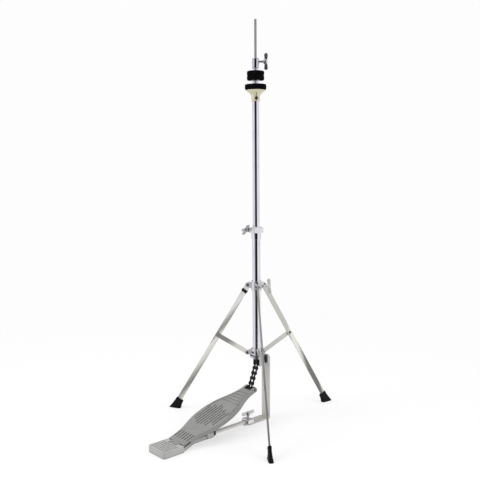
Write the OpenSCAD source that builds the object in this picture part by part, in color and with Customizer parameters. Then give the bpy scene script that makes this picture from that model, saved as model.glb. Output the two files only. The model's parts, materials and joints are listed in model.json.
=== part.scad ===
// Hi-hat stand: tripod tube with a pull rod, a chain, and a cast footboard on a flat-bar base.
// Origin on the floor under the tube, +Z up, the player's heel towards -Y.

/* [Tubes and rod] */
// Outside diameter of the lower tube
lower_tube_d = 19.05; // [18:0.05:20]
// Height of the lower tube's top end
lower_tube_top = 480; // [465:1:495]
// Outside diameter of the upper tube
upper_tube_d = 15.9; // [15.7:0.05:16.1]
// Height of the upper tube's top end
upper_tube_top = 790; // [760:1:810]
// Height of the upper tube's bottom end
upper_tube_bottom = 400; // [395:1:420]
// Diameter of the upper pull rod
upper_rod_d = 6; // [5.6:0.1:6.2]
// Height of the pull rod's tip
rod_tip = 967; // [940:1:990]
// Diameter of the lower pull rod
lower_rod_d = 8; // [7.6:0.1:8.2]

/* [Seat and clutch] */
// Height of the cup's lower edge
cup_bottom = 779; // [775:0.5:782]
// Height of the cup's rim, where the seat felt lies
cup_rim = 805; // [803:0.5:807]
// Diameter of the seat felt
seat_felt_d = 50; // [46:1:52]
// Thickness of the seat felt
seat_felt_t = 12.6; // [11:0.1:12.8]
// Diameter of the clutch felts
clutch_felt_d = 40; // [34:1:40]
// Height of the clutch wing bolt's axis
clutch_bolt_z = 870; // [869:0.5:871]

/* [Tripod] */
// Height of the pivots of the three legs
leg_pivot_z = 339.5; // [330:0.5:345]
// Distance of the leg pivots from the tube's axis
leg_pivot_r = 22; // [21.5:0.1:23]
// Angle between a leg and the vertical
leg_spread = 32.06; // [30:0.01:34]
// Width of the flat bar of a leg
leg_w = 12.4; // [11:0.1:12.6]
// Thickness of the flat bars of the legs and struts
blade_t = 3; // [2.6:0.1:3.1]
// Distance from a leg's pivot to its strut's rivet
knee_at = 156; // [154:0.1:158]
// Distance of the strut pivots from the tube's axis
strut_pivot_r = 22.6; // [22:0.1:23]
// Height of the strut pivots
strut_pivot_z = 171.6; // [171:0.1:173]
// Width of the flat bar of a strut
strut_w = 11; // [10:0.1:11.2]

/* [Base and pedal] */
// Height of the upright's top end
upright_top = 163; // [160:1:166]
// Width of the frame's flat bar
frame_bar_w = 26; // [24:1:28]
// Thickness of the frame's flat bar
frame_bar_t = 4; // [3.5:0.5:4]
// Distance of the footboard's hinge from the tube's axis
hinge_r = 252.5; // [250:0.5:255]
// Height of the footboard's hinge
hinge_z = 9; // [9:0.5:9.5]
// Slope of the footboard when nobody presses it
board_slope = 18.2; // [17.5:0.1:18.5]
// Length of the footboard from its hinge to its toe end
board_l = 248.5; // [247:0.5:249]
// Thickness of the footboard's plate
board_t = 3.5; // [3:0.1:4]

/* [Chain] */
// Distance between two chain pins
chain_pitch = 12.7; // [12.5:0.1:12.8]
// Number of links
chain_links = 5; // [5:2:5]

/* [Hidden] */
$fn = 64;
eps = 0.01;
run = 0.05;                                 // radial clearance of a turning or sliding fit
seat_fit = 0.02;                            // radial clearance of a fixed fit

// Colours
chrome = "gainsboro";
steel = "silver";
cast_grey = "darkgray";
black = "#1a1a1a";
ivory = "#e8dfb8";

// Tubes and rods
lower_tube_r = lower_tube_d / 2;
lower_tube_in = lower_tube_r - 0.9;
upper_tube_r = upper_tube_d / 2;
upper_tube_in = upper_tube_r - 1.2;
upper_rod_r = upper_rod_d / 2;
lower_rod_r = lower_rod_d / 2;
rod_joint_z = 462;
upper_rod_l = rod_tip - rod_joint_z - 0.1;
rod_thread_l = 16;
rod_thread_r = 2.5;
spring_bottom = 188;
spring_top = 262;
spring_r = 6.5;
spring_wire_r = 0.9;
spring_turns = 10;
collar_h = 6;
collar_r = 7.6;
collar_pin_r = 1;

// Height clamp: a strap bent round the front of the tube, its bolt behind the tube
sleeve_r = 11.35;
sleeve_bottom = 453;
strap_angle = -16.8;
strap_t = 2.2;
strap_in = sleeve_r + 0.05;
strap_out = strap_in + strap_t;
strap_bottom = lower_tube_top - 12;
strap_h = 13;
strap_mid = strap_bottom + strap_h / 2;
strap_bolt_x = -15.5;
strap_arm_end = -21.5;
strap_bolt_r = 3;
strap_bolt_end = 30;
strap_wing_turn = 50;

// Wing bolts
wing_reach = 15.2;
wing_tip_r = 4.3;
wing_root = 3;
wing_t = 2.6;
wing_hub_l = 10;
wing_at = 6.5;

// Clutch and seat
barrel_r = 8;
barrel_bottom = 854;
barrel_top = 878;
stem_r = 5;
stem_bottom = 818.2;
clutch_angle = 48;
clutch_hub = 18;
clutch_shank_r = 2.5;
washer_r = 12;
washer_t = 1.2;
felt_t = 10.6;
felt_gap = 0.05;
nut_r = 7;
nut_h = 7.4;
seat_screw_angle = -34;
seat_screw_z = 785;
seat_screw_r = 2;
seat_head_r = 4;
cup_neck_r = 10;
cup_rim_r = 23;

// Tripod
leg_angles = [-36.2, 83.8, 203.8];
right = 0;
rear = 1;
left = 2;
rivet_r = 2;
rivet_head_r = 3.6;
rivet_head_h = 1.6;
collar_bore = lower_tube_r + 0.075;
leg_collar_r = 12.3;
leg_collar_bottom = 328;
leg_collar_h = 23;
leg_boss_angle = 23.8;
leg_boss_r = 6;
leg_boss_out = 18;
leg_bolt_hub = 27;
ear_t = 2;
blade_gap = 0.15;
leg_ear_r = 6.5;
leg_length = leg_pivot_z / cos(leg_spread);
band_at = 18;
band_l = 8;
foot_l = 31;
foot_top_w = 15;
foot_top_t = 7.6;
foot_sole_w = 28;
foot_sole_t = 12;
knee_r = leg_pivot_r + knee_at * sin(leg_spread);
knee_z = leg_pivot_z - knee_at * cos(leg_spread);
strut_l = norm([knee_r - strut_pivot_r, knee_z - strut_pivot_z]);
strut_angle = atan2(knee_r - strut_pivot_r, knee_z - strut_pivot_z);
strut_side = blade_t + blade_gap;
bracket_bottom = 168;
bracket_h = 16;
bracket_r = 12.6;
bracket_ear_r = 5.3;
bracket_screw_z = 175;

// Frame head and upright
head_flange_r = 16.75;
head_flange_z = 162;
head_flange_t = 4;
head_bottom = 139.5;
head_shell_r = 12;
head_pocket_r = 8.9;
head_pocket_top = 158.5;
spigot_r = lower_tube_in - seat_fit;
spigot_top = 186;
bush_r = 6;
upright_y = 29;
head_plate_t = 4;
frame_bolt_x = 8.8;
frame_bolt_z = 153.6;
frame_bolt_r = 2;

// Floor strip, clamp and radius bar
strip_end = 47;
strip_tip_w = 17;
base_bolt_r = 30;
base_shank_r = 2.5;
base_hub_z = 20;
clamp_near = 22;
clamp_far = 40;
clamp_top = 12.5;
clamp_roof = 2.9;
radius_w = 10;
radius_z = 4.2;
radius_t = 5;
radius_near = 18;
radius_far = 158;

// Heel plate
heel_w = 60;
heel_front = 249;
heel_back = 303.5;
heel_h = 15;
heel_corner = 5;
tab_w = 28;
tongue_h = 8;
tongue_end = 145;
pin_r = 2;

// Footboard, in its own frame: u towards the toe, v across, w away from the board's underside
knuckle_r = 6;
board_top_w = 6;
board_root = 6;
skirt_t = 2.6;
skirt_w = -4;
skirt_start = 26;
groove_w = 2.2;
groove_depth = 1.8;
toe_u = board_l - 6;
toe_w = 2.5;
toe_pin_r = 1.5;
toe_slot_w = 20;
toe_slot_u = board_l - 15;
board_outline = [[0, 27], [38, 27], [50, 30], [84, 42], [112, 45.5], [142, 44.5], [170, 38],
    [196, 26], [218, 19], [235, 17.5], [260, 18]];

// Chain, hanging from the pull rod to the toe
toe_r = hinge_r - toe_u * cos(board_slope) + toe_w * sin(board_slope);
toe_z = hinge_z + toe_u * sin(board_slope) + toe_w * cos(board_slope);
chain_l = chain_links * chain_pitch;
chain_top_z = toe_z + sqrt(chain_l * chain_l - toe_r * toe_r);
chain_lean = asin(toe_r / chain_l);
link_eye_r = 4.6;
link_waist_r = 2.3;
link_t = 1.2;
inner_x = 3.3;
outer_x = inner_x + link_t + 0.1;
chain_pin_r = 2.3;
chain_bush_in = chain_pin_r + run;
chain_bush_out = 2.9;
roller_in = chain_bush_out + run;
roller_out = 3.9;
clevis_in = inner_x + link_t + 0.4;
clevis_out = clevis_in + 2.1;
clevis_half = 5.2;
clevis_top = head_pocket_top - 0.5;

// ---- Helpers ----

// Turns a part about the tube to a compass angle, +X being outwards
module outwards(angle) {
    rotate([0, 0, angle])
        children();
}

// Lays a part built along +Z so that it points outwards at a height
module along_x(z) {
    translate([0, 0, z])
        rotate([0, 90, 0])
            children();
}

// A cylinder along Y, centred on y
module cross_pin(r, length, y = 0) {
    translate([0, y, 0])
        rotate([90, 0, 0])
            cylinder(h = length, r = r, center = true);
}

// A cylinder along X, centred on the origin
module side_pin(r, length) {
    rotate([0, 90, 0])
        cylinder(h = length, r = r, center = true);
}

module tube(r_out, r_in, bottom, top) {
    translate([0, 0, bottom])
        difference() {
            cylinder(h = top - bottom, r = r_out);
            translate([0, 0, -1])
                cylinder(h = top - bottom + 2, r = r_in);
        }
}

// Corner points of a section whose outer corners are rounded
function corner(cx, cy, r, from) = [for (a = [from : 15 : from + 90]) [cx + r * cos(a), cy + r * sin(a)]];

function round_section(x0, x1, y0, y1, r) = concat(
    [[x0, y0]], corner(x1 - r, y0 + r, r, -90), corner(x1 - r, y1 - r, r, 0), [[x0, y1]]);

// Saw-tooth outline of a screw thread drawn as rings
function thread(r, depth, pitch, z0, z1) = [
    for (i = [0 : floor((z1 - z0) / pitch) - 1])
        for (k = [0, 1])
            [r - k * depth, z0 + (i + k / 2) * pitch]];

// A domed rivet head on the plane y = 0, standing towards +Y
module rivet_head() {
    rotate([-90, 0, 0])
        rotate_extrude()
            polygon([[0, 0], [rivet_head_r, 0], [rivet_head_r - 0.3, 0.7], [rivet_head_r - 1.3, 1.3],
                [0, rivet_head_h]]);
}

// Two wings and a domed hub; the screw's axis is Z and the hub starts at z = 0
module wing_head(bore = 0) {
    difference() {
        union() {
            rotate_extrude()
                polygon([[0, 0], [4.2, 0], [5.6, 2.5], [6, 5], [5.6, 7.5], [4, 9.3], [0, wing_hub_l]]);
            for (side = [-1, 1])
                wing(side);
        }
        if (bore > 0)
            translate([0, 0, -1])
                cylinder(h = wing_hub_l + 2, r = bore);
    }
}

module wing(side) {
    translate([side * wing_reach, 0, wing_at])
        cross_pin(wing_tip_r, wing_t);
    rotate([90, 0, 0])
        linear_extrude(height = wing_t, center = true)
            polygon([[side * 2, wing_at - wing_root], [side * wing_reach, wing_at - wing_tip_r],
                [side * wing_reach, wing_at + wing_tip_r], [side * 2, wing_at + wing_root]]);
}

// A wing bolt along +Z from its tip to the end of its hub
module wing_bolt(tip, hub, shank_r) {
    translate([0, 0, tip])
        cylinder(h = hub - tip + 1, r = shank_r);
    translate([0, 0, hub])
        wing_head();
}

// ---- Clutch ----

module clutch_body() color(chrome) {
    difference() {
        union() {
            translate([0, 0, barrel_bottom])
                rotate_extrude()
                    polygon(round_section(0, barrel_r, 0, barrel_top - barrel_bottom, 2));
            rotate_extrude()
                polygon(concat([[0, stem_bottom]], thread(stem_r, 0.35, 1.25, stem_bottom, barrel_bottom),
                    [[stem_r, barrel_bottom + 1], [0, barrel_bottom + 1]]));
        }
        translate([0, 0, stem_bottom - 1])
            cylinder(h = barrel_top - stem_bottom + 2, r = upper_rod_r + 0.06);
        outwards(clutch_angle)
            along_x(clutch_bolt_z)
                cylinder(h = barrel_r + 1, r = clutch_shank_r + run);
    }
}

module clutch_wing_bolt() color(steel)
    outwards(clutch_angle)
        along_x(clutch_bolt_z)
            wing_bolt(upper_rod_r + 0.4, clutch_hub, clutch_shank_r);

// Heights of the stack on the stem, from the nut upwards
nut_top = stem_bottom + nut_h;
felt_low_z = nut_top + washer_t + 2 * felt_gap;
felt_high_z = felt_low_z + felt_t + felt_gap;
upper_washer_z = felt_high_z + felt_t + felt_gap;

module clutch_washers() color(chrome)
    for (z = [nut_top + felt_gap, upper_washer_z])
        tube(washer_r, stem_r + 0.2, z, z + washer_t);

module clutch_felt(z)
    translate([0, 0, z])
        difference() {
            rotate_extrude()
                polygon(round_section(0, clutch_felt_d / 2, 0, felt_t, 1.8));
            translate([0, 0, -1])
                cylinder(h = felt_t + 2, r = stem_r + 0.4);
        }

module clutch_felt_upper() color(black)
    clutch_felt(felt_high_z);

module clutch_felt_lower() color(black)
    clutch_felt(felt_low_z);

module clutch_nut() color(chrome)
    difference() {
        translate([0, 0, stem_bottom])
            rotate_extrude()
                polygon(round_section(0, nut_r, 0, nut_h, 0.8));
        translate([0, 0, stem_bottom - 1])
            cylinder(h = nut_h + 2, r = stem_r + seat_fit);
        for (a = [0 : 18 : 342])
            rotate([0, 0, a])
                translate([nut_r + 0.25, 0, stem_bottom - 1])
                    cylinder(h = nut_h + 2, r = 0.6);
    }

// ---- Seat and upper tube ----

module seat_felt() color(black)
    translate([0, 0, cup_rim + felt_gap])
        difference() {
            rotate_extrude()
                polygon(round_section(0, seat_felt_d / 2, 0, seat_felt_t, 1.8));
            translate([0, 0, -1])
                cylinder(h = seat_felt_t + 2, r = 5);
        }

// The cup flares from its neck to its rim
cup_flare_z = cup_bottom + 10;
cup_flare = [for (t = [0 : 0.1 : 1])
    [cup_neck_r + (cup_rim_r - cup_neck_r) * pow(t, 1.8),
        cup_flare_z + (cup_rim - 1.5 - cup_flare_z) * t]];

module seat_cup() color(ivory)
    difference() {
        rotate_extrude()
            polygon(concat([[0, cup_bottom], [cup_neck_r - 0.6, cup_bottom], [cup_neck_r, cup_bottom + 0.6]],
                cup_flare, [[cup_rim_r, cup_rim - 0.6], [cup_rim_r - 0.6, cup_rim], [0, cup_rim]]));
        translate([0, 0, cup_bottom - 1])
            cylinder(h = upper_tube_top - cup_bottom + 1, r = upper_tube_r + seat_fit);
        translate([0, 0, upper_tube_top - 1])
            cylinder(h = 20, r = upper_rod_r + 0.08);
        translate([0, 0, cup_rim - 2.5])
            cylinder(h = 5, r = cup_rim_r - 3);
        outwards(seat_screw_angle) {
            along_x(seat_screw_z)
                cylinder(h = 30, r = seat_screw_r + seat_fit);
            translate([upper_tube_r - 1, -0.8, seat_screw_z])
                cube([20, 1.6, 13]);
        }
    }

module seat_screw() color("dimgray")
    outwards(seat_screw_angle)
        along_x(seat_screw_z)
            difference() {
                union() {
                    translate([0, 0, upper_tube_r + 0.05])
                        cylinder(h = 4, r = seat_screw_r);
                    translate([0, 0, cup_neck_r + 0.1])
                        rotate_extrude()
                            polygon([[0, 0], [seat_head_r, 0], [seat_head_r, 1.6],
                                [seat_head_r - 0.8, 2.8], [0, 3.4]]);
                }
                translate([-5, -0.5, cup_neck_r + 2.2])
                    cube([10, 1, 3]);
            }

module upper_tube() color(chrome)
    tube(upper_tube_r, upper_tube_in, upper_tube_bottom, upper_tube_top);

// ---- Pull rod and return spring ----

module upper_rod() color(chrome) {
    translate([0, 0, rod_joint_z + 0.1])
        rotate_extrude()
            polygon([[0, 0], [upper_rod_r, 0], [upper_rod_r, upper_rod_l - 1.5],
                [upper_rod_r - 0.5, upper_rod_l - 0.5], [upper_rod_r - 1.4, upper_rod_l], [0, upper_rod_l]]);
    translate([0, 0, rod_joint_z - rod_thread_l + 1])
        cylinder(h = rod_thread_l, r = rod_thread_r);
}

module lower_rod() color(steel)
    difference() {
        union() {
            translate([0, 0, clevis_top + 0.05])
                cylinder(h = rod_joint_z - clevis_top - 0.05, r = lower_rod_r);
            translate([0, 0, clevis_top - 6])
                cylinder(h = 7, r = 3);
        }
        translate([0, 0, rod_joint_z - rod_thread_l])
            cylinder(h = rod_thread_l + 1, r = rod_thread_r + seat_fit);
        translate([0, 0, spring_top + collar_h / 2])
            side_pin(collar_pin_r + seat_fit, 20);
    }

module spring_collar() color(steel)
    difference() {
        tube(collar_r, lower_rod_r + seat_fit, spring_top, spring_top + collar_h);
        translate([0, 0, spring_top + collar_h / 2])
            side_pin(collar_pin_r + seat_fit, 20);
    }

module collar_pin() color("dimgray")
    translate([0, 0, spring_top + collar_h / 2])
        side_pin(collar_pin_r, 2 * collar_r - 0.4);

// Height of the coil after a number of turns: the first and last turns lie nearly closed
coil_low = spring_bottom + spring_wire_r + 0.15;
coil_high = spring_top - spring_wire_r - 0.15;
end_pitch = 2 * spring_wire_r + 0.2;
mid_pitch = (coil_high - coil_low - 2 * end_pitch) / (spring_turns - 2);

function coil_z(t) = t < 1 ? coil_low + end_pitch * t
    : t > spring_turns - 1 ? coil_high - end_pitch * (spring_turns - t)
    : coil_low + end_pitch + mid_pitch * (t - 1);

coil_steps = 20;
wire_sides = 8;

module return_spring() color("dimgray") {
    last = spring_turns * coil_steps;
    points = [for (i = [0 : last]) for (k = [0 : wire_sides - 1])
        let (turn = 360 * i / coil_steps, a = 360 * k / wire_sides, r = spring_r + spring_wire_r * cos(a))
            [r * cos(turn), r * sin(turn), coil_z(i / coil_steps) + spring_wire_r * sin(a)]];
    sides = [for (i = [0 : last - 1]) for (k = [0 : wire_sides - 1])
        let (next = (k + 1) % wire_sides, p = i * wire_sides, q = (i + 1) * wire_sides)
            [p + k, p + next, q + next, q + k]];
    start_cap = [[for (k = [wire_sides - 1 : -1 : 0]) k]];
    end_cap = [[for (k = [0 : wire_sides - 1]) last * wire_sides + k]];
    polyhedron(points = points, faces = concat(sides, start_cap, end_cap), convexity = 10);
}

module guide_bush() color(ivory) {
    tube(bush_r, lower_rod_r + 0.06, head_pocket_top, spigot_top);
    tube(bush_r + 2, lower_rod_r + 0.06, spigot_top + 0.02, spring_bottom);
    tube(bush_r, lower_rod_r + 0.06, spigot_top - 1, spigot_top + 1);
}

// ---- Lower tube and height clamp ----

module lower_tube() color(chrome)
    difference() {
        tube(lower_tube_r, lower_tube_in, head_flange_z + head_flange_t, lower_tube_top);
        outwards(strap_angle + 180)
            translate([0, -1, lower_tube_top - 25])
                cube([20, 2, 30]);
        outwards(-90)
            along_x(bracket_screw_z)
                cylinder(h = 20, r = 1.65);
    }

module height_sleeve() color(chrome)
    difference() {
        translate([0, 0, sleeve_bottom])
            difference() {
                rotate_extrude()
                    polygon(round_section(0, sleeve_r, 0, lower_tube_top - sleeve_bottom, 0.8));
                translate([0, 0, -1])
                    cylinder(h = lower_tube_top - sleeve_bottom + 2, r = lower_tube_r + seat_fit);
            }
        outwards(strap_angle + 180)
            translate([0, -1, sleeve_bottom + 6])
                cube([20, 2, 30]);
    }

module tube_bush() color(ivory) {
    tube(lower_tube_in - 0.03, upper_tube_r + 0.04, lower_tube_top - 40, lower_tube_top + 1);
    tube(lower_tube_r + 1, upper_tube_r + 0.04, lower_tube_top + 0.05, lower_tube_top + 2);
}

// Outline of the bent strap, open at the back
module strap_outline() {
    difference() {
        union() {
            translate([strap_arm_end + 3, -strap_out])
                square([strap_out - strap_arm_end - 6, 2 * strap_out]);
            translate([0, -strap_out + 3])
                square([strap_out, 2 * strap_out - 6]);
            for (s = [-1, 1])
                translate([strap_out - 3, s * (strap_out - 3)])
                    circle(r = 3);
            translate([strap_arm_end, -strap_out])
                square([4, 2 * strap_out]);
        }
        translate([strap_arm_end - 1, -strap_in])
            square([strap_in - strap_arm_end + 1, 2 * strap_in]);
    }
}

module height_clamp() color(chrome)
    outwards(strap_angle)
        difference() {
            translate([0, 0, strap_bottom])
                linear_extrude(height = strap_h)
                    strap_outline();
            translate([strap_bolt_x, 0, strap_mid])
                cross_pin(strap_bolt_r + 0.1, 60);
        }

module height_bolt() color(steel)
    outwards(strap_angle)
        translate([strap_bolt_x, 0, strap_mid]) {
            cross_pin(strap_bolt_r, strap_bolt_end + strap_out + 1, (strap_out + 1 - strap_bolt_end) / 2);
            translate([-5, strap_out + 0.05, -5])
                cube([10, 4, 10]);
        }

module height_wing_nut() color(steel)
    outwards(strap_angle)
        translate([strap_bolt_x, -strap_out - 0.1, strap_mid])
            rotate([90, 0, 0])
                rotate([0, 0, 90 - strap_wing_turn])
                    wing_head(strap_bolt_r + run);

// ---- Tripod ----

// Two ears astride a blade whose middle plane is y = side
module ear_pair(pivot_r, pivot_z, ear_r, side, root_z0, root_z1) {
    for (s = [-1, 1])
        translate([0, side + s * (blade_t / 2 + blade_gap + ear_t / 2), 0]) {
            translate([pivot_r, 0, pivot_z])
                cross_pin(ear_r, ear_t);
            rotate([90, 0, 0])
                linear_extrude(height = ear_t, center = true)
                    polygon([[lower_tube_r + 1.5, root_z0], [pivot_r, pivot_z - ear_r],
                        [pivot_r, pivot_z + ear_r], [lower_tube_r + 1.5, root_z1]]);
        }
}

module leg_collar() color(chrome)
    difference() {
        union() {
            translate([0, 0, leg_collar_bottom])
                cylinder(h = leg_collar_h, r = leg_collar_r);
            for (a = leg_angles)
                outwards(a)
                    ear_pair(leg_pivot_r, leg_pivot_z, leg_ear_r, 0, leg_pivot_z - 8, leg_pivot_z + 8);
            outwards(leg_boss_angle)
                along_x(leg_pivot_z)
                    cylinder(h = leg_boss_out, r = leg_boss_r);
        }
        translate([0, 0, leg_collar_bottom - 1])
            cylinder(h = leg_collar_h + 2, r = collar_bore);
        outwards(leg_boss_angle)
            along_x(leg_pivot_z)
                cylinder(h = leg_boss_out + 1, r = clutch_shank_r + run);
        for (a = leg_angles)
            outwards(a)
                translate([leg_pivot_r, 0, leg_pivot_z])
                    cross_pin(rivet_r + seat_fit, 20);
    }

module leg_wing_bolt() color(steel)
    outwards(leg_boss_angle)
        along_x(leg_pivot_z)
            rotate([0, 0, 12])
                wing_bolt(lower_tube_r + 0.3, leg_bolt_hub, clutch_shank_r);

// A rivet through a pair of ears
module ear_rivet(side) {
    reach = blade_t / 2 + blade_gap + ear_t + 0.05;
    cross_pin(rivet_r, 2 * reach, side);
    for (s = [0, 1])
        translate([0, side, 0])
            mirror([0, s, 0])
                translate([0, reach, 0])
                    rivet_head();
}

module collar_rivets() color("dimgray")
    for (a = leg_angles)
        outwards(a)
            translate([leg_pivot_r, 0, leg_pivot_z])
                ear_rivet(0);

// Places a part built in a leg's own frame: pivot at the origin, the leg along -Z
module on_leg(i) {
    outwards(leg_angles[i])
        translate([leg_pivot_r, 0, leg_pivot_z])
            rotate([0, -leg_spread, 0])
                children();
}

leg_bar_l = leg_length - 7;

module leg(i) color(steel)
    on_leg(i)
        difference() {
            union() {
                cross_pin(leg_w / 2, blade_t);
                translate([-leg_w / 2, -blade_t / 2, -leg_bar_l])
                    cube([leg_w, blade_t, leg_bar_l]);
            }
            cross_pin(rivet_r + run, 10);
            translate([0, 0, -knee_at])
                cross_pin(rivet_r + seat_fit, 10);
        }

module leg_right() leg(right);
module leg_rear() leg(rear);
module leg_left() leg(left);

// Rubber foot: a wedge from the leg's end to a flat sole
module foot(i) color(black)
    difference() {
        hull() {
            on_leg(i)
                translate([-foot_top_w / 2, -foot_top_t / 2, -leg_length + foot_l - 2])
                    cube([foot_top_w, foot_top_t, 2]);
            outwards(leg_angles[i])
                translate([leg_pivot_r + leg_length * sin(leg_spread) - foot_sole_w / 2, -foot_sole_t / 2, 0])
                    cube([foot_sole_w, foot_sole_t, 3]);
        }
        on_leg(i)
            translate([-leg_w / 2 - 0.05, -blade_t / 2 - 0.05, -leg_bar_l - 0.1])
                cube([leg_w + 0.1, blade_t + 0.1, leg_bar_l]);
    }

module foot_right() foot(right);
module foot_rear() foot(rear);
module foot_left() foot(left);

// One leg carries a band below its pivot
module leg_band() color(black)
    on_leg(left)
        translate([0, 0, -band_at - band_l / 2])
            difference() {
                translate([-leg_w / 2 - 1, -blade_t / 2 - 1, 0])
                    cube([leg_w + 2, blade_t + 2, band_l]);
                translate([-leg_w / 2 - 0.05, -blade_t / 2 - 0.05, -1])
                    cube([leg_w + 0.1, blade_t + 0.1, band_l + 2]);
            }

// The rivet's half in the leg: head and shank up to the joint's sliding face
module knee_rivet(i) color("dimgray")
    on_leg(i)
        translate([0, 0, -knee_at]) {
            cross_pin(rivet_r, blade_t, 0);
            mirror([0, 1, 0])
                translate([0, blade_t / 2, 0])
                    rivet_head();
        }

module knee_rivet_right() knee_rivet(right);
module knee_rivet_rear() knee_rivet(rear);
module knee_rivet_left() knee_rivet(left);

// A strut lies beside its leg; the knee rivet's closing head is drawn on its outer face
module strut(i) color(steel)
    outwards(leg_angles[i])
        translate([strut_pivot_r, strut_side, strut_pivot_z])
            rotate([0, strut_angle, 0]) {
                difference() {
                    union() {
                        translate([-strut_w / 2, -blade_t / 2, 0])
                            cube([strut_w, blade_t, strut_l]);
                        cross_pin(strut_w / 2, blade_t);
                        translate([0, 0, strut_l])
                            cross_pin(strut_w / 2, blade_t);
                    }
                    cross_pin(rivet_r + run, 10);
                }
                translate([0, blade_t / 2 - eps, strut_l])
                    rivet_head();
            }

module strut_right() strut(right);
module strut_rear() strut(rear);
module strut_left() strut(left);

module strut_bracket() color(chrome)
    difference() {
        union() {
            translate([0, 0, bracket_bottom])
                cylinder(h = bracket_h, r = bracket_r);
            for (a = leg_angles)
                outwards(a)
                    ear_pair(strut_pivot_r, strut_pivot_z, bracket_ear_r, strut_side,
                        bracket_bottom, bracket_bottom + bracket_h - 1);
        }
        translate([0, 0, bracket_bottom - 1])
            cylinder(h = bracket_h + 2, r = lower_tube_r + seat_fit);
        for (a = leg_angles)
            outwards(a)
                translate([strut_pivot_r, 0, strut_pivot_z])
                    cross_pin(rivet_r + seat_fit, 30);
        outwards(-90)
            along_x(bracket_screw_z)
                cylinder(h = 20, r = 1.65);
    }

module bracket_rivets() color("dimgray")
    for (a = leg_angles)
        outwards(a)
            translate([strut_pivot_r, 0, strut_pivot_z])
                ear_rivet(strut_side);

module bracket_screw() color("dimgray")
    outwards(-90)
        along_x(bracket_screw_z) {
            translate([0, 0, spigot_r - 1.5])
                cylinder(h = bracket_r - spigot_r + 2, r = 1.6);
            translate([0, 0, bracket_r + 0.1])
                rotate_extrude()
                    polygon([[0, 0], [3, 0], [2.8, 1.2], [1.8, 2], [0, 2.2]]);
        }

// ---- Frame ----

module frame_head() color(cast_grey)
    difference() {
        union() {
            translate([0, 0, head_flange_z])
                cylinder(h = head_flange_t, r = head_flange_r);
            translate([0, 0, head_flange_z])
                cylinder(h = spigot_top - head_flange_z, r = spigot_r);
            translate([0, 0, head_bottom])
                cylinder(h = head_flange_z - head_bottom + 1, r = head_shell_r);
            translate([-5, 8, head_bottom + 2])
                cube([10, upright_y - 8, head_flange_z - head_bottom]);
            translate([-frame_bar_w / 2, upright_y - head_plate_t, head_bottom + 4])
                cube([frame_bar_w, head_plate_t - 0.05, upright_top - head_bottom - 4]);
        }
        translate([0, 0, head_bottom - 1])
            cylinder(h = head_pocket_top - head_bottom + 1, r = head_pocket_r);
        translate([-20, -21, head_bottom - 1])
            cube([40, 20, head_pocket_top - head_bottom + 1]);
        cylinder(h = 400, r = bush_r + seat_fit);
        for (s = [-1, 1])
            translate([s * frame_bolt_x, upright_y, frame_bolt_z])
                cross_pin(frame_bolt_r + seat_fit, 20);
        outwards(-90)
            along_x(bracket_screw_z)
                translate([0, 0, spigot_r - 2])
                    cylinder(h = 20, r = 1.65);
    }

// Side view of the bent bar: floor strip, bend and upright
bend_in = 2;
bend_out = bend_in + frame_bar_t;

module frame_profile() {
    bend_y = upright_y - bend_in;
    translate([-strip_end, 0])
        square([strip_end + bend_y, frame_bar_t]);
    translate([upright_y, bend_out])
        square([frame_bar_t, upright_top - bend_out]);
    intersection() {
        translate([bend_y, bend_out])
            difference() {
                circle(r = bend_out);
                circle(r = bend_in);
            }
        translate([bend_y, 0])
            square([bend_out, bend_out]);
    }
}

module frame_bar() color(steel)
    difference() {
        translate([frame_bar_w / 2, 0, 0])
            rotate([90, 0, -90])
                mirror([1, 0, 0])
                    linear_extrude(height = frame_bar_w)
                        frame_profile();
        for (s = [-1, 1]) {
            translate([s * frame_bolt_x, upright_y, frame_bolt_z])
                cross_pin(frame_bolt_r + seat_fit, 20);
            translate([s * frame_bar_w / 2, upright_y + 2, upright_top])
                rotate([0, 45, 0])
                    cube([7, 20, 7], center = true);
            translate([s * (strip_tip_w / 2 + 10), -strip_end, 2])
                rotate([0, 0, s * 20])
                    cube([20, 24, 10], center = true);
        }
        translate([0, -base_bolt_r, -1])
            cylinder(h = frame_bar_t + 2, r = base_shank_r + run);
    }

module frame_bolts() color("dimgray")
    for (s = [-1, 1])
        translate([s * frame_bolt_x, upright_y, frame_bolt_z]) {
            cross_pin(frame_bolt_r, frame_bar_t + head_plate_t + 1.5, (frame_bar_t - head_plate_t + 0.5) / 2);
            translate([0, -head_plate_t - 0.1, 0])
                rotate([90, 0, 0])
                    rotate_extrude()
                        polygon([[0, 0], [3.2, 0], [3.2, 1.2], [2.4, 2.2], [0, 2.6]]);
        }

module base_clamp() color(chrome)
    translate([0, -(clamp_near + clamp_far) / 2, 0])
        difference() {
            translate([-12.5, -(clamp_far - clamp_near) / 2, frame_bar_t + 0.05])
                cube([25, clamp_far - clamp_near, clamp_top - frame_bar_t - 0.05]);
            translate([-10.3, -20, 0])
                cube([20.6, 40, clamp_top - clamp_roof]);
            translate([0, (clamp_near + clamp_far) / 2 - base_bolt_r, 0])
                cylinder(h = 20, r = base_shank_r + 0.1);
        }

module base_wing_bolt() color(steel)
    translate([0, -base_bolt_r, 0])
        rotate([0, 0, 90])
            wing_bolt(0.5, base_hub_z, base_shank_r);

module radius_bar() color(steel)
    difference() {
        translate([-radius_w / 2, -radius_far, radius_z])
            cube([radius_w, radius_far - radius_near, radius_t]);
        translate([-base_shank_r - 0.2, -base_bolt_r - 4, 0])
            cube([2 * base_shank_r + 0.4, 8, 20]);
        for (s = [-1, 1])
            translate([0, -base_bolt_r + 4 * s, 0])
                cylinder(h = 20, r = base_shank_r + 0.2);
    }

module bar_bush() color(black)
    translate([0, -tongue_end + 0.05, 0])
        difference() {
            translate([-6.5, 0, 2.2])
                cube([13, 7, 9]);
            translate([-radius_w / 2 - 0.05, -1, radius_z - 0.05])
                cube([radius_w + 0.1, 10, radius_t + 0.1]);
        }

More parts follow.
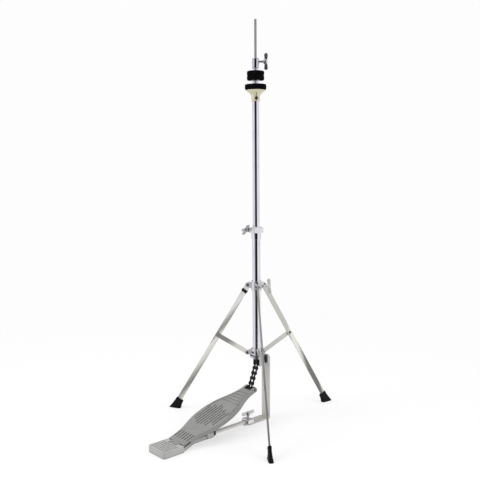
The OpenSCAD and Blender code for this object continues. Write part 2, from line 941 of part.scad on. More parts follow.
// ---- Pedal ----

// Plan of the heel plate's body with rounded rear corners
module heel_plan() {
    half = heel_w / 2;
    translate([-half, -heel_back + heel_corner])
        square([heel_w, heel_back - heel_corner - heel_front]);
    translate([-half + heel_corner, -heel_back])
        square([heel_w - 2 * heel_corner, heel_corner + 1]);
    for (s = [-1, 1])
        translate([s * (half - heel_corner), -heel_back + heel_corner])
            circle(r = heel_corner);
}

module heel_plate() color(cast_grey)
    difference() {
        union() {
            linear_extrude(height = heel_h)
                heel_plan();
            for (i = [0 : 5])
                translate([-heel_w / 2 + 4, -heel_back + 6 + 6.4 * i, heel_h - 1])
                    cube([heel_w - 8, 2.6, 1.8]);
            linear_extrude(height = tongue_h)
                polygon([[-26, -heel_front - 1], [26, -heel_front - 1], [24, -240], [7.5, -205],
                    [6.5, -tongue_end], [-6.5, -tongue_end], [-7.5, -205], [-24, -240]]);
            translate([-8, -tongue_end - 20, 0])
                cube([16, 20, 11.4]);
        }
        translate([-tab_w / 2 - 0.5, -heel_front - 11, 2])
            cube([tab_w + 1, 15.5, 20]);
        translate([0, -hinge_r, hinge_z])
            side_pin(pin_r + seat_fit, heel_w - 4);
        translate([-radius_w / 2 - 0.05, -radius_far - 0.1, radius_z - 0.05])
            cube([radius_w + 0.1, 40, radius_t + 0.1]);
    }

module heel_pin() color("dimgray")
    translate([0, -hinge_r, hinge_z])
        side_pin(pin_r, heel_w - 5);

// Half width of the footboard at u, the outline's corners smoothed away
function mean(list) = list * [for (x = list) 1] / len(list);

function half_w(u) = mean([for (d = [-12 : 3 : 12]) lookup(u + d, board_outline)]);

// A band along the board's edge, from u0 to u1, its outer side inset from the edge
function edge_band(u0, u1, inset, width, side) = let (step = (u1 - u0) / ceil((u1 - u0) / 5)) concat(
    [for (u = [u0 : step : u1 + eps]) [u, side * (half_w(u) - inset)]],
    [for (u = [u1 : -step : u0 - eps]) [u, side * (half_w(u) - inset - width)]]);

// Outline of the board's plate
function board_plan() = let (step = (board_l - board_root) / 49) concat(
    [for (u = [board_root : step : board_l + eps]) [u, half_w(u)]],
    [for (u = [board_l : -step : board_root - eps]) [u, -half_w(u)]]);

// Places a part built in the footboard's own frame
module on_board() {
    translate([0, -hinge_r, hinge_z])
        rotate([0, 0, 90])
            rotate([0, -board_slope, 0])
                children();
}

// Grooves: [place across, start, end]
heel_grooves = [for (v = [-26.2 : 10.48 : 26.3]) [v * 0.86, 19, 41]];
foot_grooves = [for (i = [-4 : 4])
    [i * 8.2, 80 + (abs(i) > 2 ? 10 : 0) - 4 * (i % 2), 152 - 3 * abs(i) + 6 * (i % 2)]];

module groove(v, u0, u1) {
    translate([0, v, board_top_w - groove_depth]) {
        translate([u0, -groove_w / 2, 0])
            cube([u1 - u0, groove_w, 5]);
        for (u = [u0, u1])
            translate([u, 0, 0])
                cylinder(h = 5, r = groove_w / 2, $fn = 24);
    }
}

// A step across the board's toe end, with short legs back along the edges
module step_rib(u, leg_l) {
    for (s = [-1, 1])
        linear_extrude(height = board_top_w + 0.7)
            polygon(edge_band(u - leg_l, u, 4.5, 1.8, s));
    translate([u - 1, -half_w(u) + 5, 0])
        cube([2, 2 * half_w(u) - 10, board_top_w + 0.7]);
}

module footboard() color(cast_grey)
    on_board()
        difference() {
            union() {
                translate([0, 0, board_top_w - board_t])
                    linear_extrude(height = board_t)
                        polygon(board_plan());
                for (s = [-1, 1])
                    translate([0, 0, skirt_w])
                        linear_extrude(height = board_top_w - skirt_w - 0.5)
                            polygon(edge_band(skirt_start, board_l, 0, skirt_t, s));
                for (v = [-12, 12])
                    translate([skirt_start, v - 1.2, -0.5])
                        cube([toe_slot_u - skirt_start, 2.4, 4]);
                translate([toe_slot_u - 4, -17, skirt_w])
                    cube([board_l - toe_slot_u + 4, 34, board_top_w - skirt_w - 1]);
                for (u = [186, 197, 208, 219])
                    step_rib(u, 7);
                step_rib(176, 44);
                cross_pin(knuckle_r, tab_w);
                translate([0, -tab_w / 2, board_top_w - board_t])
                    cube([board_root + 2, tab_w, board_t]);
            }
            cross_pin(pin_r + run, 80);
            translate([toe_slot_u, -toe_slot_w / 2, -20])
                cube([40, toe_slot_w, 40]);
            translate([toe_u, 0, toe_w])
                cross_pin(toe_pin_r + seat_fit, 80);
            for (g = concat(heel_grooves, foot_grooves))
                groove(g[0], g[1], g[2]);
        }

module toe_pin() color("dimgray")
    on_board()
        translate([toe_u, 0, toe_w]) {
            cross_pin(toe_pin_r, 2 * half_w(toe_u) + 1);
            for (s = [-1, 1])
                cross_pin(2.8, 1.4, s * (half_w(toe_u) + 0.9));
        }

module toe_clip() color(black)
    on_board()
        difference() {
            translate([toe_slot_u + 0.2, -toe_slot_w / 2 + 0.1, -2.5])
                cube([board_l - toe_slot_u - 1, toe_slot_w - 0.2, 9.8]);
            translate([toe_slot_u + 2.4, -toe_slot_w / 2 + 2, -10])
                cube([40, toe_slot_w - 4, 30]);
            translate([toe_u, 0, toe_w])
                cross_pin(toe_pin_r + seat_fit, 80);
        }

// ---- Chain ----

// Places a part built in the chain's own frame: top pin at the origin, the chain along -Z
module on_chain() {
    translate([0, 0, chain_top_z])
        rotate([-chain_lean, 0, 0])
            children();
}

// A plate of one link, from the pin at the origin to the next one below
module link_plate(x) {
    half = chain_pitch / 2;
    notch = 5.2;
    translate([x, 0, 0])
        rotate([0, 90, 0])
            linear_extrude(height = link_t, center = true)
                difference() {
                    union() {
                        for (z = [0, chain_pitch])
                            translate([z, 0])
                                circle(r = link_eye_r);
                        translate([0, -link_eye_r + 0.6])
                            square([chain_pitch, 2 * link_eye_r - 1.2]);
                    }
                    for (s = [-1, 1])
                        translate([half, s * (link_waist_r + notch)])
                            circle(r = notch);
                }
}

module chain_inner_links() color(black)
    on_chain()
        for (i = [0 : 2 : chain_links - 1])
            translate([0, 0, -i * chain_pitch])
                difference() {
                    union() {
                        for (s = [-1, 1])
                            link_plate(s * (inner_x + link_t / 2));
                        for (z = [0, -chain_pitch])
                            translate([0, 0, z])
                                side_pin(chain_bush_out, 2 * inner_x + 0.5);
                    }
                    for (z = [0, -chain_pitch])
                        translate([0, 0, z])
                            side_pin(chain_bush_in, 20);
                }

module chain_outer_links() color(black)
    on_chain()
        for (i = [1 : 2 : chain_links - 1])
            translate([0, 0, -i * chain_pitch]) {
                for (s = [-1, 1])
                    link_plate(s * (outer_x + link_t / 2));
                for (z = [0, -chain_pitch])
                    translate([0, 0, z])
                        side_pin(chain_pin_r, 2 * (outer_x + link_t) + 1.2);
            }

module chain_rollers() color("#303030")
    on_chain()
        for (i = [0 : chain_links])
            translate([0, 0, -i * chain_pitch])
                difference() {
                    side_pin(roller_out, 2 * inner_x - 0.3);
                    side_pin(roller_in, 20);
                }

// Fork on the rod's lower end
module chain_clevis() color(black)
    difference() {
        translate([-clevis_out, -clevis_half, chain_top_z - 5.6])
            cube([2 * clevis_out, 2 * clevis_half, clevis_top - chain_top_z + 5.6]);
        translate([-clevis_in, -10, chain_top_z - 10])
            cube([2 * clevis_in, 20, 15.2]);
        translate([0, 0, chain_top_z])
            side_pin(chain_pin_r + seat_fit, 30);
        translate([0, 0, clevis_top - 6.5])
            cylinder(h = 10, r = 3 + seat_fit);
        for (s = [-1, 1])
            translate([0, s * (clevis_half + 2.4), chain_top_z - 7.6])
                rotate([s * 45, 0, 0])
                    cube([40, 7, 7], center = true);
    }

module clevis_pin() color("#303030")
    translate([0, 0, chain_top_z]) {
        side_pin(chain_pin_r, 2 * clevis_out + 1);
        for (s = [-1, 1])
            translate([s * (clevis_out + 0.6), 0, 0])
                side_pin(3, 1);
    }

clutch_body();
clutch_wing_bolt();
clutch_washers();
clutch_felt_upper();
clutch_felt_lower();
clutch_nut();
seat_felt();
seat_cup();
seat_screw();
upper_tube();
upper_rod();
lower_rod();
spring_collar();
collar_pin();
return_spring();
guide_bush();
lower_tube();
height_sleeve();
tube_bush();
height_clamp();
height_bolt();
height_wing_nut();
leg_collar();
leg_wing_bolt();
collar_rivets();
leg_right();
leg_rear();
leg_left();
foot_right();
foot_rear();
foot_left();
leg_band();
strut_right();
strut_rear();
strut_left();
knee_rivet_right();
knee_rivet_rear();
knee_rivet_left();
strut_bracket();
bracket_rivets();
bracket_screw();
frame_head();
frame_bar();
frame_bolts();
base_clamp();
base_wing_bolt();
radius_bar();
bar_bush();
heel_plate();
heel_pin();
footboard();
toe_pin();
toe_clip();
chain_inner_links();
chain_outer_links();
chain_rollers();
chain_clevis();
clevis_pin();
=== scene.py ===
"""Looks for the hi-hat stand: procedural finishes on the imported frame, with the felts, rubber feet and
return spring rebuilt as their own meshes. Lengths are in metres, in the row frame."""

import json
import math

import bmesh
import bpy
from mathutils import Matrix, Quaternion, Vector, noise


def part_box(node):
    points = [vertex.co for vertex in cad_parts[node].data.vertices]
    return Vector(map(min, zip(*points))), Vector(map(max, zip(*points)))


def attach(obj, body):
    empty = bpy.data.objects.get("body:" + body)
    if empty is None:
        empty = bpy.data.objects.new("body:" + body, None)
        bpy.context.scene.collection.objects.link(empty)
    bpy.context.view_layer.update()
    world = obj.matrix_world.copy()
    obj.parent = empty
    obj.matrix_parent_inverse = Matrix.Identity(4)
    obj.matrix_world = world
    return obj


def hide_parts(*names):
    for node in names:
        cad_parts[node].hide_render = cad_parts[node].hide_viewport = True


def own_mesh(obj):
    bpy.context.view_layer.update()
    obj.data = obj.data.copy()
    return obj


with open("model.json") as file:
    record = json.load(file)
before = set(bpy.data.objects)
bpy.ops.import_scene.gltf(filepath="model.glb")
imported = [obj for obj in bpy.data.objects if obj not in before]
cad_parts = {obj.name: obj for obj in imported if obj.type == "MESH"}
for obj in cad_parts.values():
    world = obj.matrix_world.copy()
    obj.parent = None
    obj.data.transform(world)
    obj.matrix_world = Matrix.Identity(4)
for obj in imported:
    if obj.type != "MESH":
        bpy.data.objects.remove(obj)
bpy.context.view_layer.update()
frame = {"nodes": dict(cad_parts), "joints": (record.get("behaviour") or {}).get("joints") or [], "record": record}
nodes = frame["nodes"]
record = frame["record"]
joints = {j["name"]: j for j in frame["joints"]}
slot_of = {part["node"]: part["material_slot"] for part in record["subparts"]}
slot_colour = {m["slot"]: m["base_color"] for m in record["materials"]}
UP = Vector((0, 0, 1))
MM = 0.001
# Points within this height of each other lie on one face
LEVEL = 0.01 * MM


# ---- Shader graphs ----


class Graph:
    """A material built from nodes, with one Principled shader."""

    def __init__(self, name):
        self.material = bpy.data.materials.new(name)
        self.material.use_nodes = True
        self.tree = self.material.node_tree
        self.tree.nodes.clear()
        out = self.tree.nodes.new("ShaderNodeOutputMaterial")
        self.shader = self.tree.nodes.new("ShaderNodeBsdfPrincipled")
        self.tree.links.new(self.shader.outputs[0], out.inputs["Surface"])
        self.place = self.tree.nodes.new("ShaderNodeTexCoord").outputs["Object"]

    def put(self, socket, value):
        if isinstance(value, bpy.types.NodeSocket):
            self.tree.links.new(value, socket)
        elif isinstance(value, (tuple, list, Vector)) and len(value) == 3 and socket.type == "RGBA":
            socket.default_value = (*value, 1)
        else:
            socket.default_value = value

    def set(self, **values):
        for name, value in values.items():
            self.put(self.shader.inputs[name.replace("_", " ")], value)

    def calc(self, operation, a, b=0.0):
        made = self.tree.nodes.new("ShaderNodeMath")
        made.operation = operation
        self.put(made.inputs[0], a)
        self.put(made.inputs[1], b)
        return made.outputs[0]

    def scaled(self, coords, scale):
        made = self.tree.nodes.new("ShaderNodeVectorMath")
        made.operation = "MULTIPLY"
        self.put(made.inputs[0], coords)
        made.inputs[1].default_value = scale
        return made.outputs[0]

    def turn(self, axis):
        """The rotation that lays an axis of the row frame along X."""
        x = Vector(axis).normalized()
        y = (UP if abs(x.z) < 0.97 else Vector((1, 0, 0))).cross(x).normalized()
        return Matrix((x, y, x.cross(y)))

    def aligned(self, axis):
        """Coordinates whose X runs along an axis of the row frame."""
        made = self.tree.nodes.new("ShaderNodeMapping")
        made.inputs["Rotation"].default_value = self.turn(axis).to_euler()
        self.put(made.inputs["Vector"], self.place)
        return made.outputs[0]

    def noise(self, scale, detail=3.0, coords=None, rough=0.5):
        made = self.tree.nodes.new("ShaderNodeTexNoise")
        self.put(made.inputs["Vector"], coords or self.place)
        made.inputs["Scale"].default_value = scale
        made.inputs["Detail"].default_value = detail
        made.inputs["Roughness"].default_value = rough
        return made.outputs["Fac"]

    def cells(self, scale):
        made = self.tree.nodes.new("ShaderNodeTexVoronoi")
        self.put(made.inputs["Vector"], self.place)
        made.inputs["Scale"].default_value = scale
        return made.outputs["Distance"]

    def span(self, value, low, high, start=0.0, end=1.0):
        """Maps low..high of a value to start..end, held at the ends."""
        made = self.tree.nodes.new("ShaderNodeMapRange")
        self.put(made.inputs["Value"], value)
        for name, number in (("From Min", low), ("From Max", high), ("To Min", start), ("To Max", end)):
            made.inputs[name].default_value = number
        return made.outputs[0]

    def mix(self, share, a, b):
        made = self.tree.nodes.new("ShaderNodeMix")
        made.data_type = "RGBA"
        self.put(made.inputs[0], share)
        self.put(made.inputs[6], a)
        self.put(made.inputs[7], b)
        return made.outputs[2]

    def recess(self, distance):
        """1 in the open, falling towards 0 in grooves and corners."""
        made = self.tree.nodes.new("ShaderNodeAmbientOcclusion")
        made.samples = 6
        made.inputs["Distance"].default_value = distance
        return made.outputs["AO"]

    def bump(self, height, distance, strength=1.0, under=None):
        made = self.tree.nodes.new("ShaderNodeBump")
        made.inputs["Strength"].default_value = strength
        made.inputs["Distance"].default_value = distance
        self.put(made.inputs["Height"], height)
        if under is not None:
            self.put(made.inputs["Normal"], under)
        return made.outputs[0]


def shade(colour, factor):
    return tuple(min(1.0, c * factor) for c in colour)


# ---- Finishes ----


def chrome(name, colour):
    """Mirror plate over polished steel: faint polishing rings, finger haze and a few pits."""
    g = Graph(name)
    haze = g.span(g.noise(38, 4), 0.45, 0.75)
    rings = g.noise(1, 2, g.scaled(g.place, (25, 25, 2600)))
    pits = g.span(g.cells(260), 0.0, 0.035, 1.0, 0.0)
    tone = g.mix(haze, shade(colour, 1.1), shade(colour, 0.98))
    g.set(Base_Color=g.mix(pits, tone, shade(colour, 0.45)), Metallic=1.0)
    g.set(Roughness=g.calc("ADD", g.span(haze, 0, 1, 0.03, 0.075), g.calc("MULTIPLY", pits, 0.3)))
    g.set(Normal=g.bump(rings, 0.002 * MM, 0.35, g.bump(g.noise(60, 1), 0.03 * MM, 0.25)))
    return g.material


def plated(name, colour, rough=0.3, metal=1.0):
    """Zinc-plated casting: a fine orange-peel skin and painted shade in its hollows. rough is its lowest
    roughness, and a small metal share makes it paler."""
    g = Graph(name)
    cloud = g.noise(160, 5, rough=0.65)
    painted_hollow_shade = g.recess(2.5 * MM)
    bright = g.mix(cloud, shade(colour, 0.85), shade(colour, 1.12))
    # Painted shade: hollows and corners are darkened towards a third of the colour.
    g.set(Base_Color=g.mix(painted_hollow_shade, shade(colour, 0.32), bright), Metallic=metal)
    g.set(Roughness=g.span(cloud, 0.3, 0.7, rough, rough * 1.5))
    g.set(Normal=g.bump(g.noise(1500, 3), 0.05 * MM, 0.4, g.bump(g.noise(300, 2), 0.08 * MM, 0.3)))
    return g.material


def satin_bar(name, colour, start, end, painted_light_steps, slant):
    """Plated flat bar, rolled along its length, with fine scratches, and the studio's reflections and shade
    painted into its colour.

    The steps are (share of the length, brightness) steps of the soft reflection and shade that a long bar shows in
    a studio, painted into its colour, and slant tilts that painted light across the bar, in shares of the length
    for each metre."""
    g = Graph(name)
    run = end - start
    along = g.aligned(run)
    turned = g.turn(run) @ start
    parts = g.tree.nodes.new("ShaderNodeSeparateXYZ")
    g.put(parts.inputs[0], along)
    share = g.calc("DIVIDE", g.calc("SUBTRACT", parts.outputs["X"], turned.x), run.length)
    across = g.calc("MULTIPLY", g.calc("SUBTRACT", parts.outputs["Z"], turned.z), slant)
    waver = g.span(g.noise(1, 2, g.scaled(along, (9, 60, 60))), 0, 1, -0.02, 0.02)
    # Painted reflection and shade: the ramp's brightness steps along the bar stand in for the studio's light on
    # it.
    painted_reflection = g.tree.nodes.new("ShaderNodeValToRGB")
    g.put(painted_reflection.inputs["Fac"], g.calc("ADD", g.calc("ADD", share, across), waver))
    warm = (colour[0], colour[1] * 0.985, colour[2] * 0.93)
    while len(painted_reflection.color_ramp.elements) < len(painted_light_steps):
        painted_reflection.color_ramp.elements.new(1.0)
    for element, (place, level) in zip(painted_reflection.color_ramp.elements, painted_light_steps):
        element.position = place
        element.color = (*shade(warm, level), 1)
    grain = g.noise(1, 4, g.scaled(along, (45, 2600, 2600)))
    scuff = g.span(g.noise(1, 5, g.scaled(along, (140, 900, 900)), 0.7), 0.66, 0.76)
    tone = g.mix(g.span(grain, 0.3, 0.7, 0.0, 0.2), painted_reflection.outputs["Color"], shade(colour, 0.5))
    g.set(Base_Color=g.mix(g.calc("MULTIPLY", scuff, 0.4), tone, shade(colour, 1.2)), Metallic=0.4)
    g.set(Roughness=g.calc("ADD", g.span(grain, 0.3, 0.7, 0.26, 0.38), g.calc("MULTIPLY", scuff, 0.12)))
    g.set(Anisotropic=0.2, Normal=g.bump(grain, 0.012 * MM, 0.5))
    return g.material


def dark_steel(name, colour):
    """Dull dark plating, rubbed brighter in patches, with painted shade in its hollows."""
    g = Graph(name)
    cloud = g.noise(500, 4)
    painted_shade_mask = g.recess(1.5 * MM)
    rubbed = g.mix(cloud, shade(colour, 0.5), colour)
    # Painted shade: hollows are darkened towards 0.3 of the colour.
    g.set(Base_Color=g.mix(painted_shade_mask, shade(colour, 0.3), rubbed))
    g.set(Metallic=0.9, Roughness=g.span(cloud, 0.3, 0.7, 0.3, 0.5))
    g.set(Normal=g.bump(g.noise(2200, 2), 0.04 * MM, 0.5))
    return g.material


def cast_paint(name, colour):
    """Matt grey paint on a die casting: fine orange peel, painted shade in the grooves, and shoe scuffs."""
    g = Graph(name)
    grain = g.noise(3200, 2)
    peel = g.noise(520, 3)
    cloud = g.span(g.noise(22, 4), 0.35, 0.65)
    groove = g.recess(3.2 * MM)
    scuff = g.span(g.noise(1, 6, g.scaled(g.place, (420, 60, 200)), 0.72), 0.68, 0.8)
    tone = g.mix(cloud, shade(colour, 0.93), shade(colour, 1.05))
    tone = g.mix(g.span(grain, 0.35, 0.65, 0.0, 0.35), tone, shade(colour, 0.8))
    tone = g.mix(scuff, tone, shade(colour, 1.22))
    # Painted shade: grooves and corners darken towards 0.16 of the colour.
    dark = g.span(groove, 0.35, 0.92)
    g.set(Base_Color=g.mix(dark, shade(colour, 0.16), tone), Metallic=0.15)
    g.set(Roughness=g.calc("SUBTRACT", g.span(peel, 0.3, 0.7, 0.46, 0.6), g.calc("MULTIPLY", scuff, 0.14)))
    g.set(Normal=g.bump(grain, 0.05 * MM, 0.55, g.bump(peel, 0.1 * MM, 0.45)))
    return g.material


def black_metal(name, colour):
    """Oiled black oxide, bare and brighter where links rub."""
    g = Graph(name)
    rub = g.span(g.noise(900, 4, rough=0.65), 0.56, 0.72)
    g.set(Base_Color=g.mix(rub, shade(colour, 0.6), shade(colour, 3.0)))
    g.set(Metallic=0.4, Specular_IOR_Level=0.3)
    g.set(Roughness=g.span(g.noise(260, 3), 0.3, 0.7, 0.22, 0.42))
    g.set(Normal=g.bump(g.noise(1800, 3), 0.04 * MM, 0.6))
    return g.material


def moulded(name, colour, rough, spread, shine, subsurface=0.0):
    """Moulded plastic: faint flow marks, a fine skin and painted shade in its recesses."""
    g = Graph(name)
    flow = g.noise(1, 3, g.scaled(g.place, (70, 70, 240)))
    skin = g.noise(1400, 2)
    tint = (colour[0] * 0.95, colour[1] * 0.95, colour[2] * 0.85)
    dust_and_shade = g.recess(3 * MM)
    tone = g.mix(g.span(flow, 0.35, 0.65), tint, shade(colour, 1.04))
    # Painted shade: recesses darken towards 0.62 of the tint.
    g.set(Base_Color=g.mix(g.span(dust_and_shade, 0.2, 0.8), shade(tint, 0.62), tone))
    g.set(Roughness=g.span(flow, 0.3, 0.7, rough, rough + spread), Specular_IOR_Level=shine)
    g.set(Normal=g.bump(skin, 0.03 * MM, 0.35, g.bump(flow, 0.05 * MM, 0.3)))
    if subsurface:
        g.set(Subsurface_Weight=subsurface, Subsurface_Scale=0.004)
    return g.material


def rubber(name, colour):
    """Moulded rubber: matt, dusty in patches and along the foot of each boot."""
    g = Graph(name)
    dust_and_shade = g.span(g.noise(85, 5, rough=0.65), 0.5, 0.8)
    height = g.tree.nodes.new("ShaderNodeSeparateXYZ")
    g.put(height.inputs[0], g.place)
    floor_dust = g.span(height.outputs["Z"], 0.0, 6 * MM, 0.55, 0.0)
    share = g.calc("MAXIMUM", g.calc("MULTIPLY", dust_and_shade, 0.3), g.calc("MULTIPLY", floor_dust, dust_and_shade))
    g.set(Base_Color=g.mix(share, shade(colour, 0.32), (0.04, 0.038, 0.036)))
    g.set(Roughness=g.span(dust_and_shade, 0, 1, 0.42, 0.7), Specular_IOR_Level=0.14)
    g.set(Normal=g.bump(g.noise(2600, 2), 0.05 * MM, 0.5, g.bump(g.noise(240, 3), 0.08 * MM, 0.4)))
    return g.material


def felt(name, colour):
    """Pressed wool: matted fibres, lighter flecks, layers showing at the side."""
    g = Graph(name)
    swirl = g.noise(1, 6, g.scaled(g.place, (900, 900, 1500)), 0.72)
    layers = g.noise(1, 3, g.scaled(g.place, (60, 60, 1300)))
    fleck = g.span(g.noise(1700, 6, rough=0.8), 0.6, 0.74)
    tone = g.mix(g.span(swirl, 0.35, 0.65), shade(colour, 0.08), shade(colour, 0.42))
    tone = g.mix(g.span(layers, 0.45, 0.7, 0.0, 0.5), tone, shade(colour, 0.12))
    g.set(Base_Color=g.mix(g.calc("MULTIPLY", fleck, 0.4), tone, (0.028, 0.027, 0.026)))
    g.set(Roughness=0.98, Specular_IOR_Level=0.02, Sheen_Weight=0.015, Sheen_Roughness=0.5)
    g.set(Normal=g.bump(swirl, 0.4 * MM, 0.8, g.bump(layers, 0.3 * MM, 0.5)))
    return g.material


FINISH = {
    "chrome": chrome,
    "plated_steel": plated,
    "dark_fastener": dark_steel,
    "spring_steel": dark_steel,
    "felt": felt,
    "ivory_plastic": lambda n, c: moulded(n, shade(c, 0.84), 0.28, 0.14, 0.4, 0.1),
    "nylon": lambda n, c: moulded(n, c, 0.42, 0.16, 0.4, 0.1),
    "rubber": rubber,
    "black_plastic": lambda n, c: moulded(n, c, 0.4, 0.16, 0.16),
    "cast_grey": cast_paint,
    "black_steel": black_metal,
}
finish = {s: make(s, slot_colour[s]) for s, make in FINISH.items()}

# The flat bars each get the finish, with its painted reflection and shade, turned along their own length.
LEGS = ("right", "rear", "left")


def pivot(joint):
    return Vector(joints[joint]["pos_m"])


def sole_centre(which):
    low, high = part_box("foot_" + which)
    flat = [v.co for v in nodes["foot_" + which].data.vertices if v.co.z < low.z + LEVEL]
    return sum(flat, Vector()) / len(flat)


def middle(node):
    low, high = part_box(node)
    return (low + high) / 2


def ends(node, axis):
    """The two ends of a node's box along an axis of the row frame."""
    low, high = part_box(node)
    centre, half = (low + high) / 2, Vector(axis) * abs((high - low).dot(Vector(axis))) / 2
    return centre - half, centre + half


bar_run = {name: ends(name, (0, 0, 1)) for name in ("frame_bar", "upper_rod")}
bar_run["radius_bar"] = ends("radius_bar", (0, 1, 0))
for leg in LEGS:
    bar_run["leg_" + leg] = (sole_centre(leg), pivot(f"leg_{leg}_fold"))
    bar_run["strut_" + leg] = (pivot(f"strut_{leg}_fold"), middle("knee_rivet_" + leg))

# Steps of the reflection and shade painted along each bar, from the floor or the tube outwards, and its slant
BAR_PAINTED_LIGHT = {
    "leg_rear": (((0.04, 0.85), (0.09, 0.22), (0.34, 0.25), (0.46, 1.25), (0.58, 1.3), (0.63, 0.82),
                  (1.0, 0.9)), -12),
    "leg_left": (((0.08, 0.95), (0.2, 0.36), (0.31, 0.66), (0.42, 1.2), (0.58, 1.5), (0.64, 0.66),
                  (0.72, 0.55), (0.86, 1.5), (1.0, 1.2)), 12),
    "leg_right": (((0.0, 0.22), (0.4, 0.3), (0.7, 0.42), (1.0, 0.45)), 0),
    "strut_left": (((0.0, 1.3), (0.35, 1.2), (0.65, 0.42), (1.0, 0.36)), 8),
    "strut_rear": (((0.0, 0.8), (1.0, 0.9)), 0),
    "strut_right": (((0.0, 0.7), (1.0, 0.8)), 0),
    "frame_bar": (((0.0, 0.85), (0.3, 0.95), (0.8, 0.9), (1.0, 0.65)), 0),
    "radius_bar": (((0.0, 1.0), (1.0, 1.05)), 0),
    "upper_rod": (((0.0, 0.55), (1.0, 0.5)), 0),
}
# Nodes whose finish differs from their slot's: finish, tint, and for plated its roughness and metal share
SPECIAL = {
    # clutch_body: the same chrome darkened to about three quarters, as painted shade.
    "clutch_body": (chrome, shade(slot_colour["chrome"], 0.76)),
    "leg_collar": (plated, (0.82, 0.82, 0.83), 0.12),
    "strut_bracket": (plated, (0.82, 0.82, 0.83), 0.12),
    "base_clamp": (plated, (0.84, 0.84, 0.84), 0.1),
    "height_clamp": (plated, (0.84, 0.83, 0.86), 0.3, 0.5),
    "leg_wing_bolt": (plated, (0.66, 0.67, 0.62), 0.3, 0.3),
    # footboard and heel_plate: one cast grey, darkened on the footboard as painted shade and lightened on the heel
    # plate as painted light.
    "footboard": (cast_paint, shade(slot_colour["cast_grey"], 0.78)),
    "heel_plate": (cast_paint, shade(slot_colour["cast_grey"], 1.28)),
}
# The bars' own materials carry painted reflection and shade; the special nodes' carry painted shade and light.
for name, obj in nodes.items():
    if name in BAR_PAINTED_LIGHT:
        tint = slot_colour["satin_bar" if name.startswith(("leg", "strut")) else "plated_steel"]
        made = satin_bar(name + "_finish", tint, *bar_run[name], *BAR_PAINTED_LIGHT[name])
    elif name in SPECIAL:
        make, tint, *rest = SPECIAL[name]
        made = make(name + "_finish", tint, *rest)
    else:
        made = finish[slot_of[name]]
    obj.data.materials.clear()
    obj.data.materials.append(made)


# ---- Softened edges of the hard parts ----


WELD = 0.002 * MM
FLAT_ANGLE = math.radians(0.4)
EDGE_ANGLE = math.radians(32)


def soften(obj, width):
    """Rounds every hard edge of a CAD node with modifiers only. A bar's flat faces are joined first, so
    that the long slivers of its mesh do not hold the rounding back."""
    weld = obj.modifiers.new("weld", "WELD")
    weld.merge_threshold = WELD
    if obj.name in BAR_PAINTED_LIGHT:
        flat = obj.modifiers.new("flat", "DECIMATE")
        flat.decimate_type = "DISSOLVE"
        flat.angle_limit = FLAT_ANGLE
    bevel = obj.modifiers.new("edge", "BEVEL")
    bevel.width = width
    bevel.segments = 2
    bevel.limit_method = "ANGLE"
    bevel.angle_limit = EDGE_ANGLE
    bevel.use_clamp_overlap = True
    normals = obj.modifiers.new("normals", "WEIGHTED_NORMAL")
    normals.weight = 60


CAST = ("clutch_wing_bolt", "height_wing_nut", "leg_wing_bolt", "base_wing_bolt")
CAST_VOXEL = 0.3 * MM
CAST_ROUNDS = 7


def cast(obj):
    """Melts a CAD node's corners together, as a casting's are."""
    remesh = obj.modifiers.new("cast", "REMESH")
    remesh.mode = "VOXEL"
    remesh.voxel_size = CAST_VOXEL
    remesh.use_smooth_shade = True
    smooth = obj.modifiers.new("melt", "SMOOTH")
    smooth.factor = 0.5
    smooth.iterations = CAST_ROUNDS


# Width of each node's rounded edges, in millimetres
EDGE = {
    "heel_plate": 0.8, "frame_head": 0.6, "frame_bar": 0.4, "radius_bar": 0.4,
    "leg_collar": 0.5, "strut_bracket": 0.4, "height_clamp": 0.45, "base_clamp": 0.4,
    "height_sleeve": 0.4, "clutch_body": 0.12, "clutch_washers": 0.25, "clutch_nut": 0.12,
    "seat_cup": 0.35, "seat_screw": 0.2, "chain_clevis": 0.4, "chain_inner_links": 0.22,
    "chain_outer_links": 0.22, "toe_clip": 0.3, "height_bolt": 0.3, "bar_bush": 0.5, "leg_band": 0.45,
    "clevis_pin": 0.25, "toe_pin": 0.25, "spring_collar": 0.4,
}
for leg in LEGS:
    EDGE["leg_" + leg] = 0.45
    EDGE["strut_" + leg] = 0.4
for name in CAST:
    cast(nodes[name])
for name, width in EDGE.items():
    soften(nodes[name], width * MM)


# ---- Rebuilt pieces ----


def piece(name, verts, faces, body, replaced, slot):
    """A closed mesh that rides on a body in place of a CAD node."""
    mesh = bpy.data.meshes.new(name)
    mesh.from_pydata([tuple(v) for v in verts], [], faces)
    work = bmesh.new()
    work.from_mesh(mesh)
    bmesh.ops.recalc_face_normals(work, faces=work.faces)
    work.to_mesh(mesh)
    work.free()
    mesh.shade_smooth()
    mesh.materials.append(finish[slot])
    obj = bpy.data.objects.new(name, mesh)
    bpy.context.scene.collection.objects.link(obj)
    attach(obj, body)
    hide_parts(replaced)
    return obj


def ring_faces(rings, sides, closed=False):
    """Quads between rings of vertices; closed joins the last ring to the first."""
    faces = []
    for i in range(rings if closed else rings - 1):
        for k in range(sides):
            a, b = i * sides, (i + 1) % rings * sides
            faces.append((a + k, a + (k + 1) % sides, b + (k + 1) % sides, b + k))
    return faces


def body_of(node):
    for body, members in record["behaviour"]["bodies"].items():
        if node in members:
            return body


# Felts: points round a ring, then steps of a rolled edge, of the side, of a face and of the bore
AROUND_FELT = 144
CORNER_STEPS = 8
FLANK_STEPS = 5
FACE_RINGS = 9
BORE_STEPS = 4
# How far the side bulges, how much of the faces' roughness is drawn back, and the room left above them
FELT_CROWN = 0.25 * MM
DRAWN_BACK = 0.1 * MM
FELT_INSET = 0.02 * MM
# Size of the clumps and fibres in each metre, and how rough the faces are beside the side
CLUMPS = 260
FIBRES = 900
FACE_ROUGHNESS = 0.25


